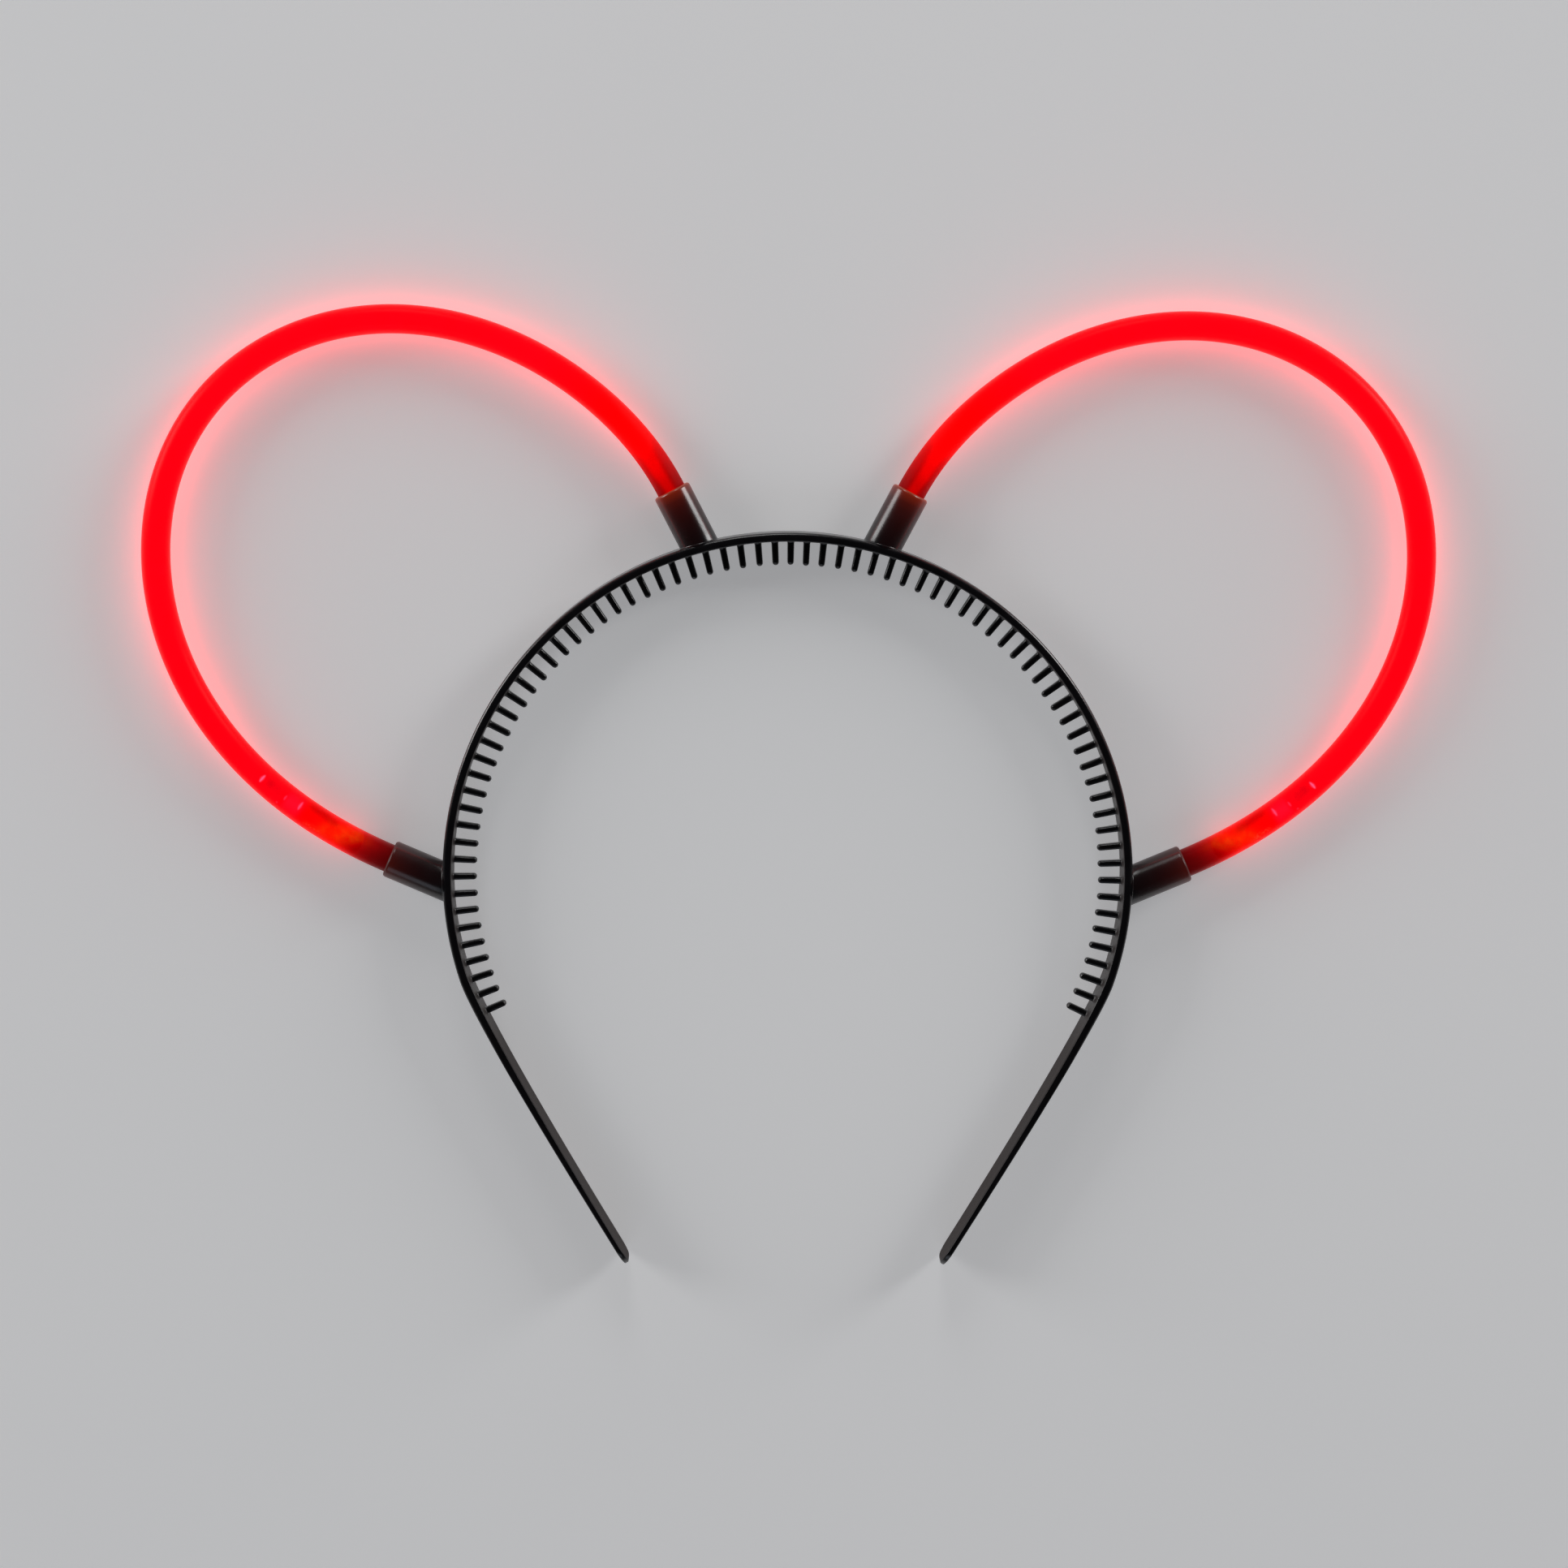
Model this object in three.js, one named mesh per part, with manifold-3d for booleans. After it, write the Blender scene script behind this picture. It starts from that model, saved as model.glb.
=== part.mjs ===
// Light-up headband: a comb-toothed plastic hoop that carries two glow sticks,
// each bent into an open ear loop between a pair of sockets on the hoop.
//
// Millimetres. The headband lies on its edge: X runs across it, Y from the arm
// tips up to the tops of the ears, and Z through the depth of the band. The
// origin is under the middle of the whole outline.
import * as THREE from 'three';
import { mergeVertices } from 'three/addons/utils/BufferGeometryUtils.js';
import Module from 'manifold-3d';

// ---- Headband: arch and arms ------------------------------------------------
const ARCH_CENTRE_Y = -14.087; // centre of the arch
const ARCH_RADIUS = 59.03; // outside of the arch
const BAND_DEPTH = 7; // along Z
const BAND_THICK = 1.53; // wall of the arch
const EDGE_ROUND = 0.3; // rounding along both edges of the band
const ARC_STEPS = 22; // curve steps of the outline
const ARCH_END = 18; // the arch is round down to here (deg below the horizontal)
const TAPER_START = 16.5; // the wall starts to thin here (deg below the horizontal)
const ARM_KNEE = 0.137; // where the arm straightens out, as a share of its length
const ARM_TIP_X = 27.615; // outer corner of an arm's tip, from the arch's centre
const ARM_TIP_Y = -68.45;
const ARM_TIP_THICK = 0.95;
const TIP_ROUND = 3.2; // rounding of the tip, seen against the flat of the arm
const TIP_SLANT = 0.8; // how far the tip's inner corner stands back from its outer corner

// ---- Headband: comb teeth on the inside ---------------------------------------
const TOOTH_COUNT = 77;
const TOOTH_SPREAD = 114.7; // first and last tooth, each side of the top (deg)
const TOOTH_SIDES = 6;
const TOOTH_OVAL = 1.55; // depth of a tooth over its width
// A tooth's section along its length: height above the inside of the arch, half width.
const TOOTH_PROFILE = [
  { height: -0.45, half: 0.8 },
  { height: 0.7, half: 0.54 },
  { height: 3.78, half: 0.47 },
  { height: 4.15, half: 0 },
];

// ---- Headband: sockets for the sticks ------------------------------------------
const SOCKET_RADIUS = 3.25;
const SOCKET_LENGTH = 10.1; // from the outside of the arch to the mouth, on the axis
const SOCKET_ROOT = 3.4; // how far the stub is carried in below the outside of the arch
const SOCKET_SIDES = 18;
const BORE_RADIUS = 2.86;
const BORE_DEPTH = 6.8;
const MOUTH_ROUND = 0.3;
// Left-hand pair; the right-hand pair mirrors it. Angles from +X (deg):
// seat is the place on the arch, aim is the direction of the socket's axis.
const SOCKETS = {
  upper: { seat: 105.35, aim: 117.6 },
  lower: { seat: 181.3, aim: 157.0 },
};

// ---- Glow sticks ---------------------------------------------------------------
const STICK_RADIUS = 2.5;
const STICK_INSERT = 5.3; // length pushed into each socket
const STICK_VISIBLE = 189.39; // length between the two mouths
const STICK_BORE = 1.9; // inside radius of the tube
const STICK_SEAL = 11.6; // solid end of the tube, in and by the lower socket
const FLUID_RADIUS = 1.5;
const FLUID_START = 3.2; // liquid column, from the tube's upper end
const FLUID_GAP = 0.6; // from the liquid to the solid end
const TUBE_SIDES = 12;
const BORE_SIDES = 8;
const TUBE_STEPS = 40;
const FLUID_STEPS = 30;
// Bend of the stick from the upper mouth (at 0) to the lower one (at 1).
const STICK_BENDS = [
  { at: 0.0, radius: 44.19 },
  { at: 0.125, radius: 62.41 },
  { at: 0.25, radius: 49.99 },
  { at: 0.375, radius: 41.51 },
  { at: 0.5, radius: 36.39 },
  { at: 0.625, radius: 44.38 },
  { at: 0.75, radius: 52.17 },
  { at: 0.875, radius: 64.93 },
  { at: 1.0, radius: 87.13 },
];

// ---- Worked out from these -----------------------------------------------------
const rad = THREE.MathUtils.degToRad;
const MID_Z = BAND_DEPTH / 2;
const INNER_RADIUS = ARCH_RADIUS - BAND_THICK;
const STICK_LENGTH = STICK_VISIBLE + 2 * STICK_INSERT;
const wasm = await Module();
wasm.setup();

// A closed geometry as a solid: shared corners merged, slivers of no area dropped.
function solid(geometry) {
  const bare = geometry.clone();
  bare.deleteAttribute('normal');
  bare.deleteAttribute('uv');
  const merged = mergeVertices(bare, 1e-4);
  const position = merged.getAttribute('position');
  const index = merged.getIndex().array;
  let triVerts = [];
  let volume = 0;
  const a = new THREE.Vector3();
  const b = new THREE.Vector3();
  const c = new THREE.Vector3();
  for (let i = 0; i < index.length; i += 3) {
    const [p, q, r] = [index[i], index[i + 1], index[i + 2]];
    if (p === q || q === r || r === p) continue;
    triVerts.push(p, q, r);
    a.fromBufferAttribute(position, p);
    b.fromBufferAttribute(position, q);
    c.fromBufferAttribute(position, r);
    volume += a.dot(b.cross(c));
  }
  if (volume < 0) triVerts = triVerts.reverse();
  return new wasm.Manifold(new wasm.Mesh({
    numProp: 3,
    vertProperties: new Float32Array(position.array),
    triVerts: new Uint32Array(triVerts),
  }));
}

function toGeometry(manifold) {
  const mesh = manifold.getMesh();
  const geometry = new THREE.BufferGeometry();
  geometry.setAttribute('position', new THREE.BufferAttribute(new Float32Array(mesh.vertProperties), 3));
  geometry.setIndex(new THREE.BufferAttribute(new Uint32Array(mesh.triVerts), 1));
  geometry.computeVertexNormals();
  return geometry;
}

function ring(radius, sides) {
  const points = [];
  for (let i = 0; i < sides; i += 1) {
    const angle = (2 * Math.PI * i) / sides;
    points.push(new THREE.Vector2(radius * Math.cos(angle), radius * Math.sin(angle)));
  }
  return points;
}

// ---- The arch and its two arms, as one outline carried through the depth --------
function bandGeometry() {
  const at = (radius, angle) => new THREE.Vector2(radius * Math.cos(angle), radius * Math.sin(angle));
  // Right-hand side. An arm leaves the arch along its tangent and closes in a little.
  const archEnd = at(ARCH_RADIUS, -rad(ARCH_END));
  const tangent = new THREE.Vector2(-Math.sin(rad(ARCH_END)), -Math.cos(rad(ARCH_END)));
  const tip = new THREE.Vector2(ARM_TIP_X, ARM_TIP_Y);
  const knee = archEnd.clone().addScaledVector(tangent, archEnd.distanceTo(tip) * ARM_KNEE);
  const run = tip.clone().sub(knee).normalize();
  const inward = new THREE.Vector2(run.y, -run.x);
  const tipInner = tip.clone().addScaledVector(inward, ARM_TIP_THICK).addScaledVector(run, -TIP_SLANT);
  const innerEnd = at(INNER_RADIUS, -rad(TAPER_START));
  const innerTangent = new THREE.Vector2(-Math.sin(rad(TAPER_START)), -Math.cos(rad(TAPER_START)));
  const kneeThick = (BAND_THICK + ARM_TIP_THICK) / 2;
  const toKnee = knee.clone().addScaledVector(inward, kneeThick).sub(innerEnd);
  const innerKnee = innerEnd.clone().addScaledVector(innerTangent, toKnee.dot(innerTangent));

  const shape = new THREE.Shape();
  shape.moveTo(tip.x, tip.y);
  shape.quadraticCurveTo(knee.x, knee.y, archEnd.x, archEnd.y);
  shape.absarc(0, 0, ARCH_RADIUS, -rad(ARCH_END), Math.PI + rad(ARCH_END), false);
  shape.quadraticCurveTo(-knee.x, knee.y, -tip.x, tip.y);
  shape.lineTo(-tipInner.x, tipInner.y);
  shape.quadraticCurveTo(-innerKnee.x, innerKnee.y, -innerEnd.x, innerEnd.y);
  shape.absarc(0, 0, INNER_RADIUS, Math.PI + rad(TAPER_START), -rad(TAPER_START), true);
  shape.quadraticCurveTo(innerKnee.x, innerKnee.y, tipInner.x, tipInner.y);
  shape.closePath();
  const geometry = new THREE.ExtrudeGeometry(shape, {
    depth: BAND_DEPTH - 2 * EDGE_ROUND,
    curveSegments: ARC_STEPS,
    bevelEnabled: true,
    bevelThickness: EDGE_ROUND,
    bevelSize: EDGE_ROUND,
    bevelOffset: -EDGE_ROUND,
    bevelSegments: 1,
  });
  geometry.translate(0, 0, EDGE_ROUND);
  return { geometry, tip, run, inward };
}

// What comes off one corner of an arm's tip to round it across the band's depth.
function tipCorner(tip, run, inward, side, edge) {
  const points = [];
  const steps = 6;
  for (let i = 0; i <= steps; i += 1) {
    const angle = (Math.PI / 2) * (i / steps);
    points.push(new THREE.Vector2(TIP_ROUND * Math.cos(angle), edge * TIP_ROUND * Math.sin(angle)));
  }
  const far = TIP_ROUND + 2;
  points.push(new THREE.Vector2(0, edge * far), new THREE.Vector2(far, edge * far), new THREE.Vector2(far, 0));
  const across = 8;
  const geometry = new THREE.ExtrudeGeometry(new THREE.Shape(points), { depth: across, bevelEnabled: false });
  geometry.translate(0, 0, -across / 2);
  const along = new THREE.Vector3(side * run.x, run.y, 0);
  const up = new THREE.Vector3(0, 0, 1);
  const centre = tip.clone().addScaledVector(inward, ARM_TIP_THICK / 2).addScaledVector(run, -TIP_ROUND);
  const place = new THREE.Matrix4().makeBasis(along, up, along.clone().cross(up));
  place.setPosition(side * centre.x, centre.y, MID_Z + edge * (BAND_DEPTH / 2 - TIP_ROUND));
  return geometry.applyMatrix4(place);
}

// One tooth, standing on the inside of the arch and pointing at its centre.
function toothGeometry(angle) {
  const points = [new THREE.Vector2(0, TOOTH_PROFILE[0].height)];
  for (const { height, half } of TOOTH_PROFILE) points.push(new THREE.Vector2(half, height));
  const geometry = new THREE.LatheGeometry(points, TOOTH_SIDES, Math.PI / TOOTH_SIDES);
  geometry.scale(1, 1, TOOTH_OVAL);
  geometry.rotateZ(angle + Math.PI / 2);
  geometry.translate(INNER_RADIUS * Math.cos(angle), INNER_RADIUS * Math.sin(angle), MID_Z);
  return geometry;
}

// One socket: a blind round stub, its root carried into the wall of the arch.
function socketGeometry(seat, aim) {
  const profile = [
    new THREE.Vector2(0, -SOCKET_ROOT),
    new THREE.Vector2(SOCKET_RADIUS, -SOCKET_ROOT),
    new THREE.Vector2(SOCKET_RADIUS, SOCKET_LENGTH - MOUTH_ROUND),
    new THREE.Vector2(SOCKET_RADIUS - MOUTH_ROUND / 2, SOCKET_LENGTH),
    new THREE.Vector2(BORE_RADIUS, SOCKET_LENGTH),
    new THREE.Vector2(BORE_RADIUS, SOCKET_LENGTH - BORE_DEPTH),
    new THREE.Vector2(0, SOCKET_LENGTH - BORE_DEPTH),
  ];
  const geometry = new THREE.LatheGeometry(profile, SOCKET_SIDES);
  geometry.rotateZ(aim - Math.PI / 2);
  geometry.translate(ARCH_RADIUS * Math.cos(seat), ARCH_RADIUS * Math.sin(seat), MID_Z);
  return geometry;
}

function headbandGeometry() {
  const band = bandGeometry();
  let body = solid(band.geometry);
  for (const side of [-1, 1]) {
    for (const edge of [-1, 1]) {
      body = body.subtract(solid(tipCorner(band.tip, band.run, band.inward, side, edge)));
    }
  }
  for (let i = 0; i < TOOTH_COUNT; i += 1) {
    const angle = 90 - TOOTH_SPREAD + (2 * TOOTH_SPREAD * i) / (TOOTH_COUNT - 1);
    body = body.add(solid(toothGeometry(rad(angle))));
  }
  // The space the sockets' roots may not reach: everything inside the middle of the wall.
  const within = new THREE.CylinderGeometry(ARCH_RADIUS - BAND_THICK / 2, ARCH_RADIUS - BAND_THICK / 2, 3 * BAND_DEPTH, 144);
  within.rotateX(Math.PI / 2);
  within.translate(0, 0, MID_Z);
  const inside = solid(within);
  for (const { seat, aim } of Object.values(SOCKETS)) {
    for (const side of [-1, 1]) {
      const mirror = (angle) => (side < 0 ? rad(angle) : Math.PI - rad(angle));
      body = body.add(solid(socketGeometry(mirror(seat), mirror(aim))).subtract(inside));
    }
  }
  return toGeometry(body).translate(0, ARCH_CENTRE_Y, 0);
}

// ---- The run of a stick ------------------------------------------------------------
// Left-hand stick from its end in the upper socket to its end in the lower one.
function stickTable() {
  const step = 0.1;
  const seat = rad(SOCKETS.upper.seat);
  const upper = rad(SOCKETS.upper.aim);
  const lower = rad(SOCKETS.lower.aim) + Math.PI;
  const table = [];
  let heading = upper;
  const reach = SOCKET_LENGTH - STICK_INSERT;
  let x = ARCH_RADIUS * Math.cos(seat) + reach * Math.cos(upper);
  let y = ARCH_CENTRE_Y + ARCH_RADIUS * Math.sin(seat) + reach * Math.sin(upper);
  for (let s = 0; s <= STICK_LENGTH + step; s += step) {
    table.push({ x, y });
    const at = (s + step / 2 - STICK_INSERT) / STICK_VISIBLE;
    let bend = 0;
    for (let i = 0; i + 1 < STICK_BENDS.length; i += 1) {
      const [a, b] = [STICK_BENDS[i], STICK_BENDS[i + 1]];
      if (at >= a.at && at < b.at) bend = THREE.MathUtils.mapLinear(at, a.at, b.at, 1 / a.radius, 1 / b.radius);
    }
    if (at > 1) heading = lower;
    x += step * Math.cos(heading + (bend * step) / 2);
    y += step * Math.sin(heading + (bend * step) / 2);
    heading += bend * step;
  }
  return { table, step };
}
const STICK = stickTable();

class StickRun extends THREE.Curve {
  constructor(side, from, to) {
    super();
    Object.assign(this, { side, from, to });
  }

  getPoint(t, target = new THREE.Vector3()) {
    const place = (this.from + t * (this.to - this.from)) / STICK.step;
    const i = Math.min(Math.floor(place), STICK.table.length - 2);
    const [a, b] = [STICK.table[i], STICK.table[i + 1]];
    const f = place - i;
    return target.set(-this.side * (a.x + (b.x - a.x) * f), a.y + (b.y - a.y) * f, MID_Z);
  }
}

function along(shape, run, steps) {
  return new THREE.ExtrudeGeometry(shape, { steps, extrudePath: run, bevelEnabled: false });
}

// The tube is open inside the upper socket and solid at its lower end.
function tubeGeometry(side) {
  const wall = new THREE.Shape(ring(STICK_RADIUS, TUBE_SIDES));
  wall.holes.push(new THREE.Path(ring(STICK_BORE, BORE_SIDES)));
  const sealFrom = STICK_LENGTH - STICK_SEAL;
  const tube = solid(along(wall, new StickRun(side, 0, STICK_LENGTH), TUBE_STEPS));
  const seal = new THREE.Shape(ring((STICK_RADIUS + STICK_BORE) / 2, BORE_SIDES));
  return toGeometry(tube.add(solid(along(seal, new StickRun(side, sealFrom, STICK_LENGTH - 0.05), 4))));
}

function fluidGeometry(side) {
  const core = new THREE.Shape(ring(FLUID_RADIUS, BORE_SIDES));
  const end = STICK_LENGTH - STICK_SEAL - FLUID_GAP;
  return toGeometry(solid(along(core, new StickRun(side, FLUID_START, end), FLUID_STEPS)));
}

// ---- Materials and assembly ----------------------------------------------------------
const blackPlastic = () => new THREE.MeshStandardMaterial({ color: 0x141216, roughness: 0.3, metalness: 0 });
const clearRed = () => new THREE.MeshStandardMaterial({ color: 0xf00b12, roughness: 0.22, metalness: 0, transparent: true, opacity: 0.6 });
const glowRed = () => new THREE.MeshStandardMaterial({ color: 0xff0a10, roughness: 0.4, metalness: 0, emissive: 0xff0008 });

function piece(name, geometry, material) {
  const mesh = new THREE.Mesh(geometry, material);
  mesh.name = name;
  return mesh;
}

const headset = new THREE.Group();
headset.name = 'light_up_headband';
headset.add(piece('headband', headbandGeometry(), blackPlastic()));
for (const [hand, side] of [['left', -1], ['right', 1]]) {
  const ear = new THREE.Group();
  ear.name = `ear_${hand}`;
  ear.add(piece(`glow_tube_${hand}`, tubeGeometry(side), clearRed()));
  ear.add(piece(`glow_fluid_${hand}`, fluidGeometry(side), glowRed()));
  headset.add(ear);
}

export default headset;
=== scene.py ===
import math

import bmesh
import bpy
import numpy as np
from mathutils import Matrix, Vector


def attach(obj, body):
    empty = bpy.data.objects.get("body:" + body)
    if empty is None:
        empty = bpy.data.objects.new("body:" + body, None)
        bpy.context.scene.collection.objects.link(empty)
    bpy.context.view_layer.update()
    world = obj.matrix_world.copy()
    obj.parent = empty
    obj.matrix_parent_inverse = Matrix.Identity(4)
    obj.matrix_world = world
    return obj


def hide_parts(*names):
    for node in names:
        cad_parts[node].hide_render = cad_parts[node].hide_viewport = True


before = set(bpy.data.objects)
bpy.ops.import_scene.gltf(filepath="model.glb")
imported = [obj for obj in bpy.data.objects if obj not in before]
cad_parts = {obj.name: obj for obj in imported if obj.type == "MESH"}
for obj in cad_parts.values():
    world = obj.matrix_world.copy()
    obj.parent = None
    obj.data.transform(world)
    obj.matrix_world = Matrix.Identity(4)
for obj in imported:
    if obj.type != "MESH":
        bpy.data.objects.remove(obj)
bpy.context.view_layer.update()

MM = 0.001
rng = np.random.default_rng(7)

# ---------------------------------------------------------------------------
# Sizes, in millimetres, in the part's own frame
# ---------------------------------------------------------------------------
ARCH_Y, ARCH_R, DEPTH, THICK = -14.087, 59.03, 7.0, 1.53
INNER_R, MID = ARCH_R - THICK, DEPTH / 2
ARCH_END, TAPER_START = math.radians(18.0), math.radians(16.5)
ARM_KNEE = 0.137
TIP = np.array([27.615, -68.45])
TIP_THICK, TIP_ROUND, TIP_SLANT = 0.95, 3.2, 0.8
OUT_ROUND, ARM_ROUND, IN_ROUND = 0.64, 0.34, 0.26     # outside edge on the arch and on the arms, inside edge

TEETH, TOOTH_SPREAD = 77, 114.7
CELLS = 8                      # steps of the band from tooth to tooth
HOLE = 3                       # a tooth's root reaches this many steps each way
CROWD = 0.46                   # how far the teeth crowd towards the top of the arch
TOOTH = dict(half_w=0.595, half_d=0.85, tip_w=0.56, tip_d=0.77, length=4.15, fillet=0.36, square=0.62)

SOCKET_R, SOCKET_L, SOCKET_FILLET = 3.25, 10.1, 0.22
SOCKET_BORE, SOCKET_BORE_DEPTH, SOCKET_LIP = 2.6, 6.8, 0.5
SOCKETS = {"upper": (105.35, 117.6), "lower": (181.3, 157.0)}   # seat, aim (deg)

STICK_R = 2.455
STICK_INSERT, STICK_VISIBLE = 5.3, 189.39
STICK_LENGTH = STICK_VISIBLE + 2 * STICK_INSERT
LIQUID_R, LIQUID_END, WETTED = 1.93, 189.4, 0.12   # the liquid wets the wall this deep
TUBE_IOR = 1.33
BEND_RADII = (44.19, 62.41, 49.99, 41.51, 36.39, 44.38, 52.17, 64.93, 87.13)


def smooth(lo, hi, x):
    t = np.clip((np.asarray(x, float) - lo) / (hi - lo), 0, 1)
    return t * t * (3 - 2 * t)


def hill(x, centre, width):
    return np.exp(-(((np.asarray(x, float) - centre) / width) ** 2))


def polar(r, a):
    return np.stack([r * np.cos(a), r * np.sin(a)], -1)


def make_object(name, verts_mm, faces):
    mesh = bpy.data.meshes.new(name)
    mesh.from_pydata((np.asarray(verts_mm, float) * MM).tolist(), [], faces)
    mesh.validate()
    obj = bpy.data.objects.new(name, mesh)
    bpy.context.scene.collection.objects.link(obj)
    return obj


def shade(obj, angle):
    obj.data.polygons.foreach_set("use_smooth", [True] * len(obj.data.polygons))
    obj.data.set_sharp_from_angle(angle=math.radians(angle))


def fix_normals(obj):
    bm = bmesh.new()
    bm.from_mesh(obj.data)
    bmesh.ops.recalc_face_normals(bm, faces=bm.faces)
    bm.to_mesh(obj.data)
    bm.free()


def tidy(mesh):
    """Closes the slivers, a few thousandths of a millimetre wide, that joining leaves along the sockets' feet."""
    bm = bmesh.new()
    bm.from_mesh(mesh)
    bmesh.ops.remove_doubles(bm, verts=bm.verts, dist=4e-6)
    bmesh.ops.dissolve_degenerate(bm, edges=bm.edges, dist=4e-6)
    bm.to_mesh(mesh)
    bm.free()


def coords(mesh):
    co = np.empty(len(mesh.vertices) * 3)
    mesh.vertices.foreach_get("co", co)
    return co.reshape(-1, 3) / MM


def normals(mesh):
    no = np.empty(len(mesh.vertices) * 3)
    mesh.vertex_normals.foreach_get("vector", no)
    return no.reshape(-1, 3)


def set_float(mesh, name, values):
    mesh.attributes.new(name, "FLOAT", "POINT").data.foreach_set("value", np.asarray(values, np.float32))


def set_colour(mesh, name, rgb):
    rgba = np.ones((len(rgb), 4), np.float32)
    rgba[:, :3] = rgb
    mesh.attributes.new(name, "FLOAT_COLOR", "POINT").data.foreach_set("color", rgba.ravel())


# ---------------------------------------------------------------------------
# Headband: outline of the right-hand half, then the strip swept from tip to tip
# ---------------------------------------------------------------------------
def bezier(a, b, c, t):
    t = np.asarray(t, float)[:, None]
    return (1 - t) ** 2 * a + 2 * t * (1 - t) * b + t ** 2 * c


arch_end = polar(ARCH_R, np.array(-ARCH_END))
tangent = np.array([-math.sin(ARCH_END), -math.cos(ARCH_END)])
knee = arch_end + tangent * np.linalg.norm(TIP - arch_end) * ARM_KNEE
run = (TIP - knee) / np.linalg.norm(TIP - knee)
inward = np.array([run[1], -run[0]])
tip_inner = TIP + inward * TIP_THICK - run * TIP_SLANT
inner_end = polar(INNER_R, np.array(-TAPER_START))
inner_tangent = np.array([-math.sin(TAPER_START), -math.cos(TAPER_START)])
to_knee = knee + inward * (THICK + TIP_THICK) / 2 - inner_end
inner_knee = inner_end + inner_tangent * (to_knee @ inner_tangent)

# Outside edge below the round part of the arch, finely divided, with its length and its angle about the arch's centre.
FINE = np.linspace(0, 1, 6000)
arm_line = bezier(arch_end, knee, TIP, FINE)
arm_length = np.concatenate([[0], np.cumsum(np.linalg.norm(np.diff(arm_line, axis=0), axis=1))])
arm_angle = np.arctan2(arm_line[:, 1], arm_line[:, 0])
# Inside edge as a fine line, carried straight on past the tip.
inner_line = np.concatenate([
    polar(INNER_R, np.radians(np.linspace(30, -16.5, 500))),
    bezier(inner_end, inner_knee, tip_inner, np.linspace(0, 1, 900)[1:]),
    [tip_inner + run * 3],
])
inner_angle = np.arctan2(inner_line[:, 1], inner_line[:, 0])
inner_radius = np.hypot(inner_line[:, 0], inner_line[:, 1])


def radius_inside(a):
    """Distance of the inside face from the arch's centre, on the right-hand half."""
    return np.interp(-np.asarray(a, float), -inner_angle, inner_radius)


def wall(point, normal):
    """Thickness of the band at a point of its outside edge, along the inward normal."""
    rel = inner_line - point
    side = rel @ np.array([-normal[1], normal[0]])
    deep = rel @ normal
    cross = np.flatnonzero((side[:-1] * side[1:] <= 0) & (np.abs(deep[:-1]) < 4))
    i = cross[0]
    f = side[i] / (side[i] - side[i + 1]) if side[i] != side[i + 1] else 0.0
    return float(deep[i] + (deep[i + 1] - deep[i]) * f)


def arm_section(t):
    p = bezier(arch_end, knee, TIP, [t])[0]
    d = (1 - t) * (knee - arch_end) + t * (TIP - knee)
    d /= np.linalg.norm(d)
    n = np.array([d[1], -d[0]])
    return p, n, wall(p, n)


def edge_section(angle):
    """Section of the right-hand half at an angle about the arch's centre: point, inward normal, wall."""
    if angle >= -ARCH_END:
        p = polar(ARCH_R, np.array(angle))
        n = -p / ARCH_R
        return p, n, THICK if angle > -0.2 else wall(p, n)
    return arm_section(float(np.interp(-angle, -arm_angle, FINE)))


def crowd(angle):
    """Angle about the arch's centre, on the right-hand half, after the teeth have crowded towards the top."""
    away = 90 - math.degrees(angle)
    return angle + CROWD / INNER_R * float(smooth(0, 5, away) * (1 - smooth(20, 118, away)))


def right_end():
    """Sections from the last tooth on the right out to the tip: point, inward normal, wall, half depth, outside rounding."""
    rows = []
    start = float(np.interp(math.radians(TOOTH_SPREAD - 90), -arm_angle, arm_length))
    total = arm_length[-1]
    along = list(np.arange(start + 0.4, total - TIP_ROUND - 0.2, 0.7))
    along += list(total - TIP_ROUND * (1 - np.sin(np.radians(np.linspace(0, 90, 22)))))
    for s in along:
        p, n, w = arm_section(float(np.interp(s, arm_length, FINE)))
        left = total - s
        half = DEPTH / 2
        if left < TIP_ROUND:
            half = DEPTH / 2 - TIP_ROUND + math.sqrt(max(TIP_ROUND ** 2 - (TIP_ROUND - left) ** 2, 0.0))
        if left < 1.1:
            w *= 0.26 + 0.74 * math.sqrt(1 - (1 - left / 1.1) ** 2)
        pinch = 0.06 * (1 - min(left / 0.3, 1.0)) ** 2
        rows.append((p + n * pinch, n, w - pinch, half, OUT_ROUND + (ARM_ROUND - OUT_ROUND) * float(smooth(0, 12, s - start))))
    return rows


def section(w, half, out_round):
    """Closed section of the band: depth below the outside face, height. Inside face first."""
    ro, ri = min(out_round, w * 0.42), min(IN_ROUND, w * 0.3)
    top = DEPTH / 2
    pts = [(w, z) for z in np.linspace(-top + ri, top - ri, 15)]
    pts += [(w - ri + ri * math.cos(a), top - ri + ri * math.sin(a)) for a in np.radians([22.5, 45, 67.5, 90])]
    pts += [(ro - ro * math.sin(a), top - ro + ro * math.cos(a)) for a in np.radians([0, 15, 30, 45, 60, 75])]
    pts += [(0.0, z) for z in np.linspace(top - ro, -top + ro, 9)]
    pts += [(ro - ro * math.cos(a), -top + ro - ro * math.sin(a)) for a in np.radians([15, 30, 45, 60, 75, 90])]
    pts += [(w - ri + ri * math.sin(a), -top + ri - ri * math.cos(a)) for a in np.radians([0, 22.5, 45, 67.5])]
    pts = np.array(pts)
    pts[:, 1] *= half / top
    return pts


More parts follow.
